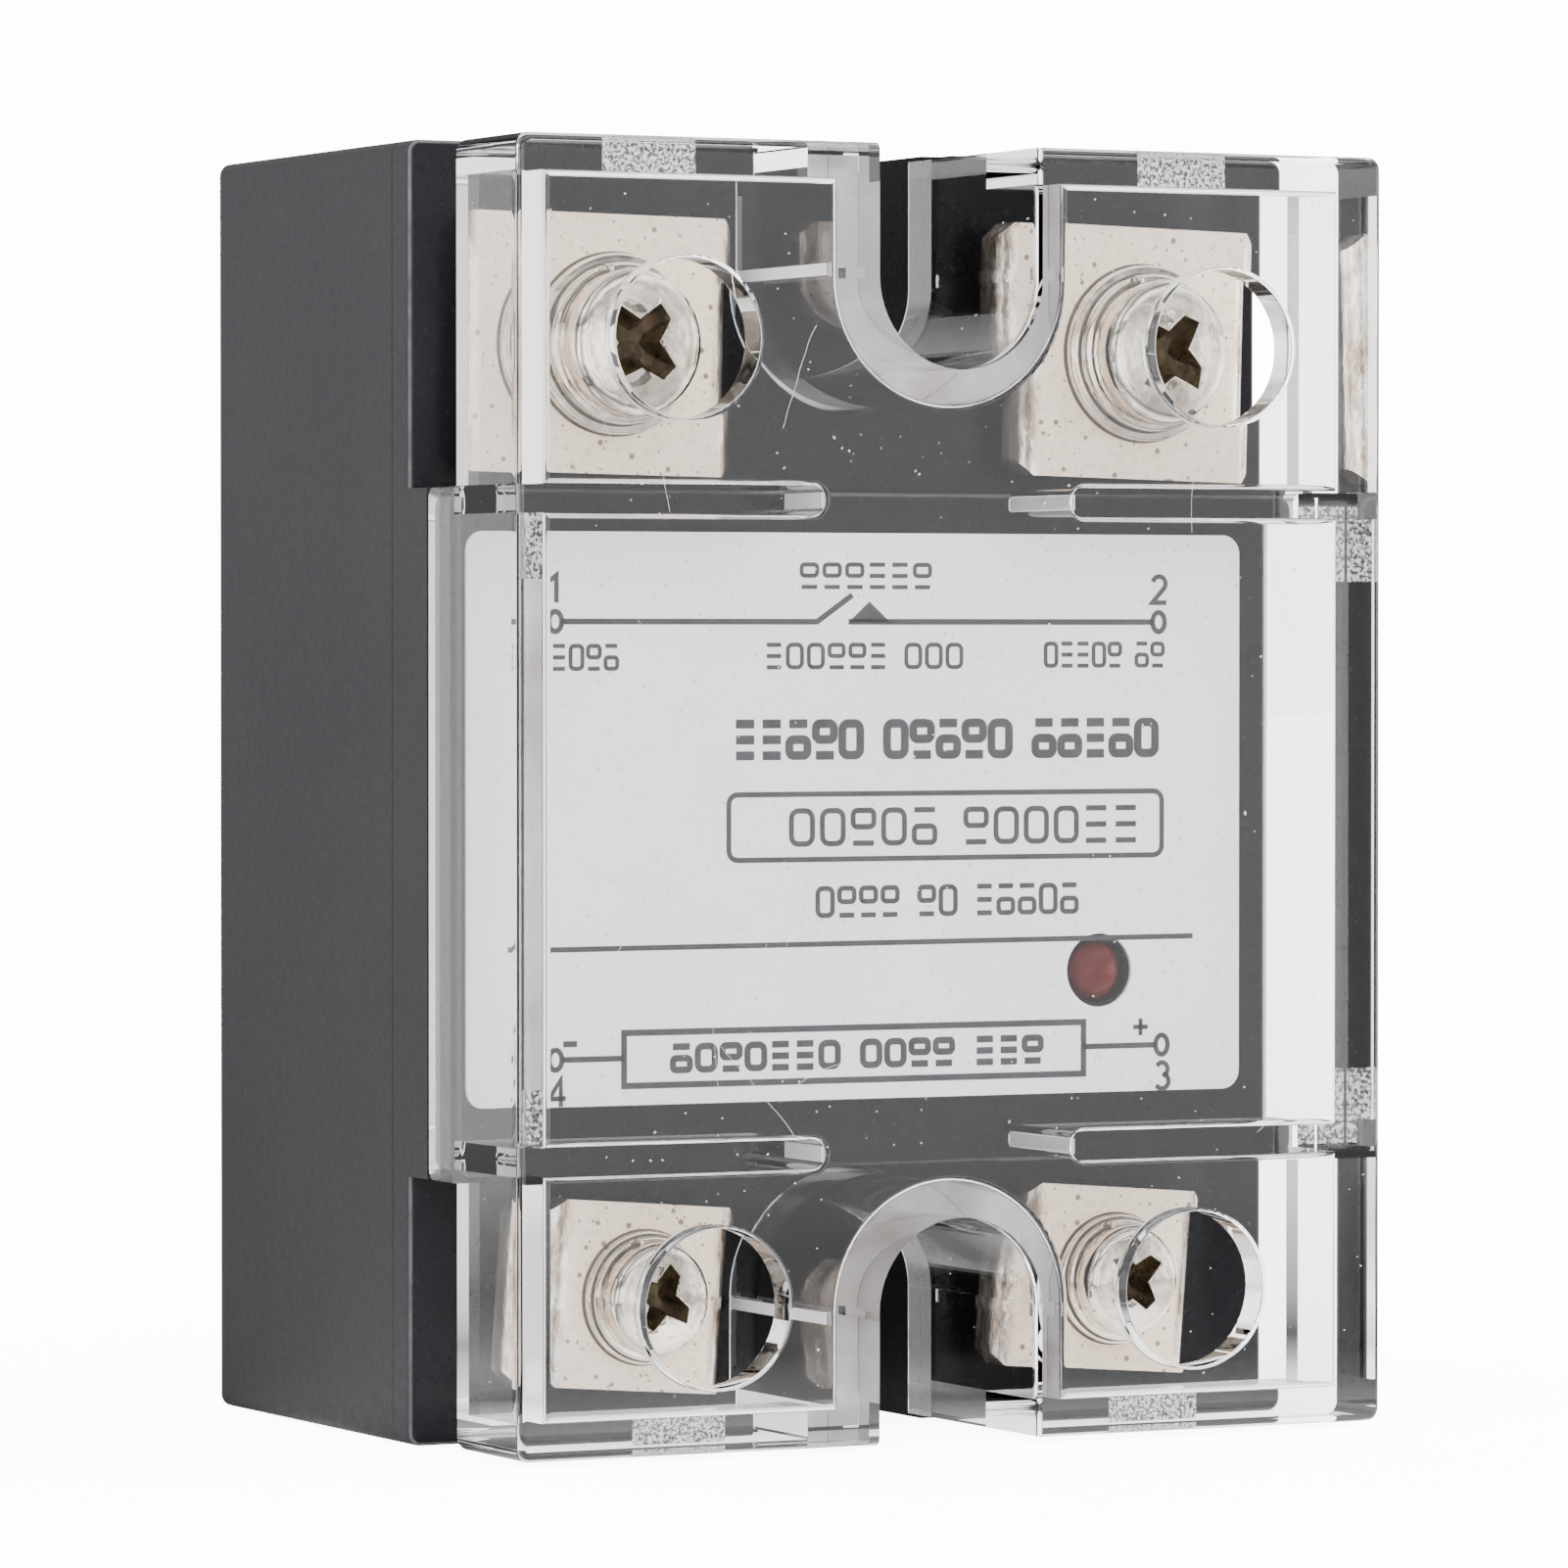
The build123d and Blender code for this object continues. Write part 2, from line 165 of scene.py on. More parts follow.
def add_world():
    """White backdrop, and soft light on matt surfaces that is strongest in front on the right."""
    world = bpy.data.worlds.new("studio")
    bpy.context.scene.world = world
    world.use_nodes = True
    tree = world.node_tree
    tree.nodes.clear()
    out = tree.nodes.new("ShaderNodeOutputWorld")
    path = tree.nodes.new("ShaderNodeLightPath")
    coords = tree.nodes.new("ShaderNodeTexCoord")
    gloss = gloss_light(tree, coords.outputs["Generated"], path)
    backdrop, soft, shiny = (tree.nodes.new("ShaderNodeBackground") for _ in range(3))
    tree.links.new(backdrop_light(tree, path), backdrop.inputs["Strength"])
    backdrop.inputs["Color"].default_value = (1, 1, 1, 1)
    key = tree.nodes.new("ShaderNodeVectorMath")
    key.operation = "DOT_PRODUCT"
    key.inputs[1].default_value = (0.5, -0.85, 0.17)
    tree.links.new(coords.outputs["Generated"], key.inputs[0])
    front = math_node(tree, "MAXIMUM", key.outputs["Value"], 0.0)
    tree.links.new(math_node(tree, "MULTIPLY_ADD", front, KEY_LIGHT, SOFT_LIGHT), soft.inputs["Strength"])
    soft.inputs["Color"].default_value = (1, 1, 1, 1)
    shiny.inputs["Strength"].default_value = GLOSS_LIGHT
    tree.links.new(gloss, shiny.inputs["Color"])
    matt = math_node(tree, "GREATER_THAN", path.outputs["Diffuse Depth"], 0.5)
    bounced = math_node(tree, "ADD", path.outputs["Diffuse Depth"], path.outputs["Glossy Depth"])
    direct = math_node(tree, "LESS_THAN", bounced, 0.5)
    lit = tree.nodes.new("ShaderNodeMixShader")
    mix = tree.nodes.new("ShaderNodeMixShader")
    tree.links.new(matt, lit.inputs[0])
    tree.links.new(shiny.outputs[0], lit.inputs[1])
    tree.links.new(soft.outputs[0], lit.inputs[2])
    tree.links.new(direct, mix.inputs[0])
    tree.links.new(lit.outputs[0], mix.inputs[1])
    tree.links.new(backdrop.outputs[0], mix.inputs[2])
    tree.links.new(mix.outputs[0], out.inputs["Surface"])


# ---------------------------------------------------------------- mesh helpers
def link_mesh(name, bm, materials=(), smooth=True, body=None, replaces=None):
    mesh = bpy.data.meshes.new(name)
    bmesh.ops.recalc_face_normals(bm, faces=bm.faces)
    bm.to_mesh(mesh)
    bm.free()
    return link_object(name, mesh, materials, smooth, body, replaces)


def link_object(name, mesh, materials, smooth, body, replaces):
    obj = bpy.data.objects.new(name, mesh)
    bpy.context.scene.collection.objects.link(obj)
    for polygon in mesh.polygons:
        polygon.use_smooth = smooth
    for material in materials:
        mesh.materials.append(MATERIALS[material])
    if body:
        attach(obj, body)
    if replaces:
        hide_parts(replaces)
    return obj


def point(x, depth, z):
    """A place from x and z in mm and the depth in mm behind the cover's front."""
    return Vector((x, FRONT + depth, z)) * MM


def lathe(bm, x, z, profile, steps=96, closed=True, start=0.0, sweep=math.tau, rise=0.0, material=0):
    """Turn (radius, depth) points about the axis through x, z that runs front to back."""
    whole = abs(sweep - math.tau) < 1e-6
    rings = []
    for i in range(steps if whole else steps + 1):
        angle = start + sweep * i / steps
        lift = rise * i / steps
        spoke = [
            bm.verts.new(point(x + r * math.cos(angle), d - lift, z + r * math.sin(angle)))
            for r, d in profile
        ]
        rings.append(spoke)
    count = len(profile)
    pairs = zip(rings, rings[1:] + rings[:1]) if whole else zip(rings, rings[1:])
    for first, second in pairs:
        for k in range(count if closed else count - 1):
            n = (k + 1) % count
            face = bm.faces.new((first[k], first[n], second[n], second[k]))
            face.material_index = material
    if not whole:
        bm.faces.new(rings[0])
        bm.faces.new(rings[-1][::-1])
    return rings


def rounded_ring(inner, outer, front, back, edge, segments=3):
    """Closed (radius, depth) outline of a washer with rounded corners."""
    corners = (
        (outer - edge, front + edge, -90), (outer - edge, back - edge, 0),
        (inner + edge, back - edge, 90), (inner + edge, front + edge, 180),
    )
    outline = []
    for r, d, turn in corners:
        for i in range(segments + 1):
            angle = math.radians(turn + 90 * i / segments)
            outline.append((r + edge * math.cos(angle), d + edge * math.sin(angle)))
    return outline


def slab(bm, corners, depth_span, material=0):
    """Extrude a polygon of (x, z) corners between two depths."""
    front = [bm.verts.new(point(x, depth_span[0], z)) for x, z in corners]
    back = [bm.verts.new(point(x, depth_span[1], z)) for x, z in corners]
    faces = [bm.faces.new(front), bm.faces.new(back[::-1])]
    for i in range(len(corners)):
        n = (i + 1) % len(corners)
        faces.append(bm.faces.new((front[i], back[i], back[n], front[n])))
    for face in faces:
        face.material_index = material


def cuboid(bm, x_span, depth_span, z_span, material=0):
    (left, right), (low, high) = x_span, z_span
    slab(bm, [(left, low), (right, low), (right, high), (left, high)], depth_span, material)


def baked_mesh(obj):
    """The mesh of an object with its modifiers worked in; the object itself goes."""
    graph = bpy.context.evaluated_depsgraph_get()
    graph.update()
    mesh = bpy.data.meshes.new_from_object(obj.evaluated_get(graph))
    bpy.data.objects.remove(obj)
    return mesh


# ---------------------------------------------------------------- materials
def new_material(name):
    material = bpy.data.materials.new(name)
    material.use_nodes = True
    tree = material.node_tree
    tree.nodes.clear()
    shader = tree.nodes.new("ShaderNodeBsdfPrincipled")
    out = tree.nodes.new("ShaderNodeOutputMaterial")
    tree.links.new(shader.outputs[0], out.inputs["Surface"])
    return material, tree, shader


def noise(tree, scale, detail=3, rough=0.5, stretch=(1, 1, 1)):
    coords = tree.nodes.new("ShaderNodeTexCoord")
    mapping = tree.nodes.new("ShaderNodeMapping")
    mapping.inputs["Scale"].default_value = stretch
    tex = tree.nodes.new("ShaderNodeTexNoise")
    tex.inputs["Scale"].default_value = scale
    tex.inputs["Detail"].default_value = detail
    tex.inputs["Roughness"].default_value = rough
    tree.links.new(coords.outputs["Object"], mapping.inputs[0])
    tree.links.new(mapping.outputs[0], tex.inputs["Vector"])
    return tex.outputs["Fac"]


def dots(tree, scale, size):
    """1 inside small scattered dots, 0 elsewhere."""
    coords = tree.nodes.new("ShaderNodeTexCoord")
    tex = tree.nodes.new("ShaderNodeTexVoronoi")
    tex.inputs["Scale"].default_value = scale
    tree.links.new(coords.outputs["Object"], tex.inputs["Vector"])
    return spread(tree, tex.outputs["Distance"], 1, 0, size * 0.6, size)


def spread(tree, value, low, high, start=0.3, end=0.7):
    node = tree.nodes.new("ShaderNodeMapRange")
    node.inputs["From Min"].default_value = start
    node.inputs["From Max"].default_value = end
    node.inputs["To Min"].default_value = low
    node.inputs["To Max"].default_value = high
    tree.links.new(value, node.inputs["Value"])
    return node.outputs[0]


def blend_colors(tree, factor, first, second):
    node = tree.nodes.new("ShaderNodeMix")
    node.data_type = "RGBA"
    for socket, color in (("A", first), ("B", second)):
        if isinstance(color, tuple):
            node.inputs[socket].default_value = (*color, 1)
        else:
            tree.links.new(color, node.inputs[socket])
    tree.links.new(factor, node.inputs["Factor"])
    return node.outputs["Result"]


def bump(tree, shader, height, strength, distance):
    node = tree.nodes.new("ShaderNodeBump")
    node.inputs["Strength"].default_value = strength
    node.inputs["Distance"].default_value = distance
    tree.links.new(height, node.inputs["Height"])
    tree.links.new(node.outputs[0], shader.inputs["Normal"])


def surface(name, first, second, rough, grain=900, relief=0.00002, metallic=0.0, specular=0.5,
            stretch=(1, 1, 1), strength=0.4, patch=120, specks=None):
    """Two-tone procedural surface with grain in its roughness and relief, and optional dark specks."""
    material, tree, shader = new_material(name)
    shader.inputs["Metallic"].default_value = metallic
    shader.inputs["Specular IOR Level"].default_value = specular
    tone = noise(tree, patch, 4, 0.6)
    color = blend_colors(tree, spread(tree, tone, 0, 1), first, second)
    if specks:
        scale, size, dark, amount = specks
        spots = math_node(tree, "MULTIPLY", dots(tree, scale, size), amount)
        color = blend_colors(tree, spots, color, dark)
    tree.links.new(color, shader.inputs["Base Color"])
    fine = noise(tree, grain, 3, 0.6, stretch)
    tree.links.new(spread(tree, fine, rough[0], rough[1]), shader.inputs["Roughness"])
    bump(tree, shader, fine, strength, relief)
    return material


def housing_material():
    """Matt moulded sides with a fine parting line; polished front faces, painted darker as shade; painted
    highlights along the edges; painted shade in the terminal channels.
    """
    material, tree, shader = new_material("housing_plastic")
    shader.inputs["Specular IOR Level"].default_value = 0.15
    coords = tree.nodes.new("ShaderNodeTexCoord")
    split = tree.nodes.new("ShaderNodeSeparateXYZ")
    tree.links.new(coords.outputs["Normal"], split.inputs[0])
    front_facing = spread(tree, split.outputs["Y"], 1, 0, -0.95, -0.6)
    place = tree.nodes.new("ShaderNodeSeparateXYZ")
    tree.links.new(coords.outputs["Object"], place.inputs[0])
    away = math_node(tree, "SUBTRACT", place.outputs["Y"], (FRONT + PARTING_DEPTH) * MM)
    gap = math_node(tree, "ABSOLUTE", away)
    parting = spread(tree, gap, 1, 0, 0.03 * MM, 0.07 * MM)
    tone = spread(tree, noise(tree, 60, 4, 0.6), 0, 1)
    matt = blend_colors(tree, tone, (0.0125, 0.0125, 0.0142), (0.0148, 0.0148, 0.0165))
    # painted shade: faces turned to the front get a much darker base colour than the sides
    color = blend_colors(tree, front_facing, matt, (0.0035, 0.0035, 0.0045))
    # painted highlight: a pale band on faces turning between front and side, broken up by noise
    turned = spread(tree, split.outputs["Y"], 0, 1, -0.97, -0.8)
    edge = math_node(tree, "MULTIPLY", turned, spread(tree, split.outputs["Y"], 1, 0, -0.55, -0.3))
    worn = math_node(tree, "MULTIPLY", edge, spread(tree, noise(tree, 700, 3, 0.6), 0.4, 1))
    color = blend_colors(tree, worn, color, (0.075, 0.075, 0.08))
    # painted shade: the terminal channels at both ends get a near-black base colour
    near = math_node(tree, "LESS_THAN", math_node(tree, "ABSOLUTE", place.outputs["X"]), 6.1 * MM)
    ends = math_node(tree, "GREATER_THAN", math_node(tree, "ABSOLUTE", place.outputs["Z"]), 17.5 * MM)
    color = blend_colors(tree, math_node(tree, "MULTIPLY", near, ends), color, (0.002, 0.002, 0.0025))
    color = blend_colors(tree, math_node(tree, "MULTIPLY", parting, 0.8), color, (0.001, 0.001, 0.001))
    tree.links.new(color, shader.inputs["Base Color"])
    fine = noise(tree, 2600, 3, 0.6)
    grain = spread(tree, fine, 0.62, 0.75)
    smooth = math_node(tree, "MULTIPLY", front_facing, 0.45)
    tree.links.new(math_node(tree, "SUBTRACT", grain, smooth), shader.inputs["Roughness"])
    relief = math_node(tree, "MULTIPLY", fine, math_node(tree, "SUBTRACT", 1.0, front_facing))
    depth = math_node(tree, "SUBTRACT", relief, parting)
    bump(tree, shader, depth, 0.25, 0.00001)
    return material


def nickel_material():
    """Satin nickel plate with dark specks; its rolled side flanges carry streaks that are part drawn marks,
    part painted highlight and painted reflection.
    """
    material, tree, shader = new_material("nickel_plate")
    coords = tree.nodes.new("ShaderNodeTexCoord")
    split = tree.nodes.new("ShaderNodeSeparateXYZ")
    tree.links.new(coords.outputs["Normal"], split.inputs[0])
    rolled = spread(tree, split.outputs["Y"], 0, 1, -0.99, -0.9)
    tone = spread(tree, noise(tree, 120, 4, 0.6), 0, 1)
    flat = blend_colors(tree, tone, (0.98, 0.8, 0.66), (0.91, 0.735, 0.59))
    grit = spread(tree, noise(tree, 3200, 2, 0.7), 0.35, 0, 0.3, 0.5)
    flat = blend_colors(tree, grit, flat, (0.45, 0.34, 0.24))
    spots = math_node(tree, "MAXIMUM", dots(tree, 1100, 0.19), dots(tree, 1900, 0.15))
    flat = blend_colors(tree, math_node(tree, "MULTIPLY", spots, 0.85), flat, (0.1, 0.06, 0.03))
    # painted highlight and reflection, partly real drawn marks: bright and dark streaks in the base colour
    # of faces not facing front
    streaks = spread(tree, noise(tree, 900, 4, 0.7, (1, 1, 0.35)), 0, 1, 0.38, 0.62)
    flange_streaks_and_highlight = blend_colors(tree, streaks, (0.3, 0.22, 0.15), (0.95, 0.87, 0.79))
    tree.links.new(blend_colors(tree, rolled, flat, flange_streaks_and_highlight), shader.inputs["Base Color"])
    tree.links.new(math_node(tree, "MULTIPLY_ADD", rolled, 0.6, 0.3), shader.inputs["Metallic"])
    fine = noise(tree, 1200, 3, 0.6, (1, 1, 0.15))
    satin = spread(tree, fine, 0.26, 0.38)
    tree.links.new(math_node(tree, "MULTIPLY_ADD", rolled, -0.14, satin), shader.inputs["Roughness"])
    ridges = math_node(tree, "MULTIPLY", streaks, rolled)
    bump(tree, shader, math_node(tree, "ADD", fine, ridges), 0.5, 0.00003)
    return material


def clear_material():
    material, tree, shader = new_material("clear_cover")
    shader.inputs["Transmission Weight"].default_value = 1
    shader.inputs["IOR"].default_value = 1.5
    shader.inputs["Roughness"].default_value = 0.0
    tint = spread(tree, noise(tree, 90, 2, 0.5), 0, 1)
    color = blend_colors(tree, tint, (0.98, 0.98, 0.992), (0.992, 0.992, 0.997))
    tree.links.new(color, shader.inputs["Base Color"])
    return material


def frosted_material():
    material, tree, shader = new_material("frosted_patch")
    fine = noise(tree, 5200, 2, 0.7)
    sparkle = spread(tree, fine, 0, 1, 0.44, 0.56)
    color = blend_colors(tree, sparkle, (0.05, 0.05, 0.055), (0.96, 0.96, 0.97))
    tree.links.new(color, shader.inputs["Base Color"])
    tree.links.new(spread(tree, fine, 0.2, 0.7), shader.inputs["Roughness"])
    bump(tree, shader, fine, 0.8, 0.00008)
    return material


MATERIALS = {}


def build_materials():
    m = MATERIALS
    m["housing"] = housing_material()
    m["clear"] = clear_material()
    m["frosted"] = frosted_material()
    m["label"] = surface("label_foil", (0.83, 0.83, 0.86), (0.79, 0.79, 0.82), (0.4, 0.55), grain=2500,
                         specular=0.3, specks=(1500, 0.13, (0.35, 0.34, 0.33), 0.6))
    m["ink"] = surface("label_ink", (0.02, 0.02, 0.023), (0.035, 0.035, 0.04), (0.45, 0.6), grain=3000,
                       patch=900)
    m["nickel"] = nickel_material()
    m["steel"] = surface("screw_steel", (0.92, 0.85, 0.77), (0.58, 0.49, 0.4), (0.06, 0.14), metallic=1,
                         grain=380, patch=700, relief=0.0002, strength=0.6)
    # painted shade: near-black to dark brown base colour inside the screws' cross recesses
    m["recess_shade"] = surface("recess_painted_shade", (0.01, 0.0065, 0.003), (0.085, 0.058, 0.03), (0.22, 0.5),
                         metallic=0.6, grain=1300, patch=1100, relief=0.0001, strength=0.9)
    m["base"] = surface("base_metal", (0.75, 0.76, 0.78), (0.68, 0.69, 0.71), (0.25, 0.45), metallic=1,
                        grain=300, stretch=(1, 1, 0.05))
    m["tin"] = surface("tinned_metal", (0.72, 0.71, 0.69), (0.62, 0.61, 0.6), (0.3, 0.5), metallic=1)
    m["resin"] = surface("resin", (0.02, 0.02, 0.022), (0.03, 0.03, 0.032), (0.1, 0.25), grain=200)
    m["ceramic"] = surface("ceramic", (0.85, 0.84, 0.8), (0.8, 0.78, 0.75), (0.4, 0.6))
    m["copper"] = surface("copper", (0.7, 0.35, 0.2), (0.55, 0.26, 0.16), (0.25, 0.5), metallic=1)
    m["silicon"] = surface("silicon", (0.12, 0.13, 0.16), (0.16, 0.17, 0.2), (0.1, 0.25), metallic=0.6)
    m["board"] = surface("circuit_board", (0.02, 0.16, 0.06), (0.03, 0.2, 0.08), (0.3, 0.5))
    m["black"] = surface("component_black", (0.02, 0.02, 0.022), (0.035, 0.035, 0.037), (0.5, 0.7))
    m["resistor"] = surface("resistor_body", (0.6, 0.45, 0.27), (0.52, 0.38, 0.22), (0.25, 0.4))
    m["capacitor"] = surface("capacitor_body", (0.55, 0.06, 0.04), (0.45, 0.05, 0.03), (0.25, 0.4))
    m["red"] = surface("red_lens", (0.085, 0.0016, 0.0014), (0.03, 0.0008, 0.0008), (0.08, 0.2),
                       patch=500, specular=0.12)
    m["dust"] = surface("dust", (0.9, 0.9, 0.92), (0.7, 0.7, 0.72), (0.6, 0.9), grain=4000)
    # painted light: white for the bead strips and rib ends that stand in for bright refraction in the clear
    # cover
    m["white"] = surface("painted_light_white", (0.93, 0.93, 0.95), (0.88, 0.88, 0.9), (0.35, 0.5), grain=1800)
    # painted shade for the rings where the head, the washers and the plate meet
    m["seam"] = surface("washer_seam_shade", (0.16, 0.125, 0.09), (0.05, 0.04, 0.028), (0.5, 0.8), grain=2000,
                        patch=500)
    # painted light: a pale film with brown streaks for ends of the clear cover that should look bright
    m["painted_light_film"] = surface("painted_light_film", (0.95, 0.94, 0.97), (0.5, 0.43, 0.39), (0.5, 0.8), grain=1500,
                             patch=220)
    m["floor"] = floor_material()


def floor_material():
    material, tree, shader = new_material("floor_paper")
    fine = noise(tree, 400, 3, 0.6)
    color = blend_colors(tree, spread(tree, fine, 0, 1), (0.95, 0.95, 0.95), (0.92, 0.92, 0.925))
    tree.links.new(color, shader.inputs["Base Color"])
    tree.links.new(color, shader.inputs["Emission Color"])
    shader.inputs["Roughness"].default_value = 0.9
    shader.inputs["Specular IOR Level"].default_value = 0.0
    path = tree.nodes.new("ShaderNodeLightPath")
    direct = math_node(tree, "LESS_THAN", path.outputs["Diffuse Depth"], 0.5)
    glow_needed = math_node(tree, "MULTIPLY_ADD", backdrop_light(tree, path), 0.85, -2.2)
    tree.links.new(math_node(tree, "MULTIPLY", direct, glow_needed), shader.inputs["Emission Strength"])
    coords = tree.nodes.new("ShaderNodeTexCoord")
    away = tree.nodes.new("ShaderNodeVectorMath")
    away.operation = "NORMALIZE"
    tree.links.new(coords.outputs["Object"], away.inputs[0])
    glow = tree.nodes.new("ShaderNodeEmission")
    glow.inputs["Strength"].default_value = GLOSS_LIGHT
    tree.links.new(gloss_light(tree, away.outputs[0], path), glow.inputs["Color"])
    mirrored = math_node(tree, "GREATER_THAN", path.outputs["Glossy Depth"], 0.5)
    mix = tree.nodes.new("ShaderNodeMixShader")
    tree.links.new(mirrored, mix.inputs[0])
    tree.links.new(shader.outputs[0], mix.inputs[1])
    tree.links.new(glow.outputs[0], mix.inputs[2])
    tree.links.new(mix.outputs[0], tree.nodes["Material Output"].inputs["Surface"])
    return material


NODE_MATERIAL = {
    "housing": "housing", "cover": "clear", "base_plate": "base", "label_plate": "label",
    "indicator_led": "red", "led_leads": "tin", "potting_resin": "resin",
    "ceramic_substrate": "ceramic", "copper_pads": "copper", "thyristor_chips": "silicon",
    "chip_straps": "copper", "gate_leads": "copper", "control_pcb": "board", "optocoupler": "black",
    "drive_transistor": "black", "pcb_resistors": "resistor", "snubber_resistor": "resistor",
    "snubber_capacitor": "capacitor",
}
for number in TERMINALS:
    NODE_MATERIAL["terminal_screw_" + number] = "steel"
    NODE_MATERIAL["spring_washer_" + number] = "steel"
    NODE_MATERIAL["flat_washer_" + number] = "steel"
    NODE_MATERIAL["terminal_nut_" + number] = "steel"
    NODE_MATERIAL["clamp_plate_" + number] = "nickel"
    NODE_MATERIAL["terminal_pad_" + number] = "tin"


def dress_nodes():
    for name, key in NODE_MATERIAL.items():
        mesh = nodes[name].data
        mesh.materials.clear()
        mesh.materials.append(MATERIALS[key])


def add_floor():
    bm = bmesh.new()
    bmesh.ops.create_grid(bm, x_segments=2, y_segments=2, size=3)
    bmesh.ops.translate(bm, verts=bm.verts, vec=(0, 0, FLOOR_Z))
    floor = link_mesh("floor", bm, ("floor",), smooth=False)


# ---------------------------------------------------------------- screws and washers
def cross_outline(reach, half_width, root):
    """Twelve corners of a cross, arms along x and z, with its inner corners at root."""
    corners = []
    for quarter in range(4):
        angle = math.pi / 2 * quarter
        for x, z in ((reach, -half_width), (reach, half_width), (root, root)):
            corners.append((
                x * math.cos(angle) - z * math.sin(angle),
                x * math.sin(angle) + z * math.cos(angle),
            ))
    return corners


def recess_cutter(x, z, front, arm, turn):
    """A tapering cross with worn corners, wide at the head's face and closing at the recess floor."""
    levels = (
        (front - 0.6, arm * 1.22, 0.27 * arm, 0.42 * arm),
        (front + 0.7, arm * 0.92, 0.2 * arm, 0.33 * arm),
        (front + 1.35, arm * 0.45, 0.12 * arm, 0.2 * arm),
    )
    rng = random.Random(round(100 * turn))
    wear = [rng.uniform(0.86, 1.14) for _ in range(12)]
    bm = bmesh.new()
    rings = []
    for depth, reach, half_width, root in levels:
        ring = []
        outline = cross_outline(reach, half_width, root)
        for cx, cz in ((cx * worn, cz * worn) for (cx, cz), worn in zip(outline, wear)):
            px = x + cx * math.cos(turn) - cz * math.sin(turn)
            pz = z + cx * math.sin(turn) + cz * math.cos(turn)
            ring.append(bm.verts.new(point(px, depth, pz)))
        rings.append(ring)
    bm.faces.new(rings[0])
    bm.faces.new(rings[-1][::-1])
    for first, second in zip(rings, rings[1:]):
        for i in range(12):
            n = (i + 1) % 12
            bm.faces.new((first[i], second[i], second[n], first[n]))
    # the recess faces take the second slot, the painted shade
    for face in bm.faces:
        face.material_index = 1
    return link_mesh("cutter", bm, ("steel", "recess_shade"), smooth=False)


def head_profile(radius, front, back, shank, end):
    """(radius, depth) points of a pan head screw, from the middle of its face to its tip."""
    crown = 0.16 * radius
    edge = 0.2 * radius
    points = [(0.0, front)]
    for i in range(1, 9):
        r = (radius - edge) * i / 8
        points.append((r, front + crown * (r / radius) ** 2))
    top = points[-1][1]
    for i in range(1, 7):
        angle = math.radians(90 * i / 6)
        points.append((radius - edge + edge * math.sin(angle), top + edge * (1 - math.cos(angle))))
    points += [(radius, back - 0.12), (radius - 0.12, back), (shank + 0.15, back), (shank, back + 0.15)]
    points += [(shank, end - 0.4), (shank - 0.4, end), (0.0, end)]
    return points


SCREW_TURNS = {"1": 47, "2": 54, "3": 40, "4": 62}


def add_screw(number):
    """A pan head screw with a worn cross recess, the size of its CAD node."""
    low, high = (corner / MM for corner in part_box("terminal_screw_" + number))
    x, z = (low.x + high.x) / 2, (low.z + high.z) / 2
    radius = (high.x - low.x) / 2
    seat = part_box("spring_washer_" + number)[0].y / MM
    front, back, end = low.y - FRONT, seat - FRONT, high.y - FRONT
    large = radius > 3
    shank = 1.97 if large else 1.47
    bm = bmesh.new()
    lathe(bm, x, z, head_profile(radius, front, back, shank, end), closed=False)
    bmesh.ops.remove_doubles(bm, verts=bm.verts, dist=1e-7)
    blank = link_mesh("blank", bm, ("steel", "recess_shade"))
    turn = math.radians(SCREW_TURNS[number])
    cutter = recess_cutter(x, z, front, 2.0 if large else 1.5, turn)
    cut = blank.modifiers.new("recess", "BOOLEAN")
    cut.operation = "DIFFERENCE"
    cut.solver = "EXACT"
    cut.object = cutter
    soften = blank.modifiers.new("worn_edges", "BEVEL")
    soften.width = 0.07 * MM
    soften.segments = 2
    soften.limit_method = "ANGLE"
    soften.angle_limit = math.radians(32)
    mesh = baked_mesh(blank)
    bpy.data.objects.remove(cutter)
    body, node = "screw_" + number, "terminal_screw_" + number
    link_object("screw_detail_" + number, mesh, (), True, body, node)


def add_washers(number):
    """Rounded flat and split spring washers, and the painted shade at their feet."""
    for kind in ("flat", "spring"):
        node = kind + "_washer_" + number
        low, high = (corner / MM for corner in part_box(node))
        x, z = (low.x + high.x) / 2, (low.z + high.z) / 2
        outer = (high.x - low.x) / 2
        front, back = low.y - FRONT, high.y - FRONT
        inner = (2.05 if outer > 3.5 else 1.55) if kind == "flat" else (2.1 if outer > 3.5 else 1.6)
        bm = bmesh.new()
        if kind == "flat":
            outline = rounded_ring(inner, outer, front, back, 0.12)
            lathe(bm, x, z, outline)
        else:
            outline = rounded_ring(inner, outer, front + 0.1, back, 0.16)
            lathe(bm, x, z, outline, start=math.radians(112), sweep=math.radians(352), rise=0.1)
        link_mesh(kind + "_washer_detail_" + number, bm, ("steel",), body="clamp_" + number,
                  replaces=node)
    add_seams(number, x, z)


def add_seams(number, x, z):
    """Thin dark rings of painted shade where the head, the washers and the plate meet."""
    seam = bmesh.new()
    feet = (
        ("terminal_screw_", "spring_washer_", 0.1),
        ("spring_washer_", "flat_washer_", 0.0),
        ("flat_washer_", "clamp_plate_", 0.0),
    )
    for upper, lower, step in feet:
        low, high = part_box(upper + number)
        radius = (high.x - low.x) / 2 / MM
        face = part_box(lower + number)[0].y / MM - FRONT + step
        lathe(seam, x, z, rounded_ring(radius - 0.05, radius + 0.08, face - 0.015, face + 0.02, 0.01))
    link_mesh("washer_seams_" + number, seam, ("seam",), body="clamp_" + number)


# ---------------------------------------------------------------- label print
INK_DEPTHS = (8.085, 8.1)


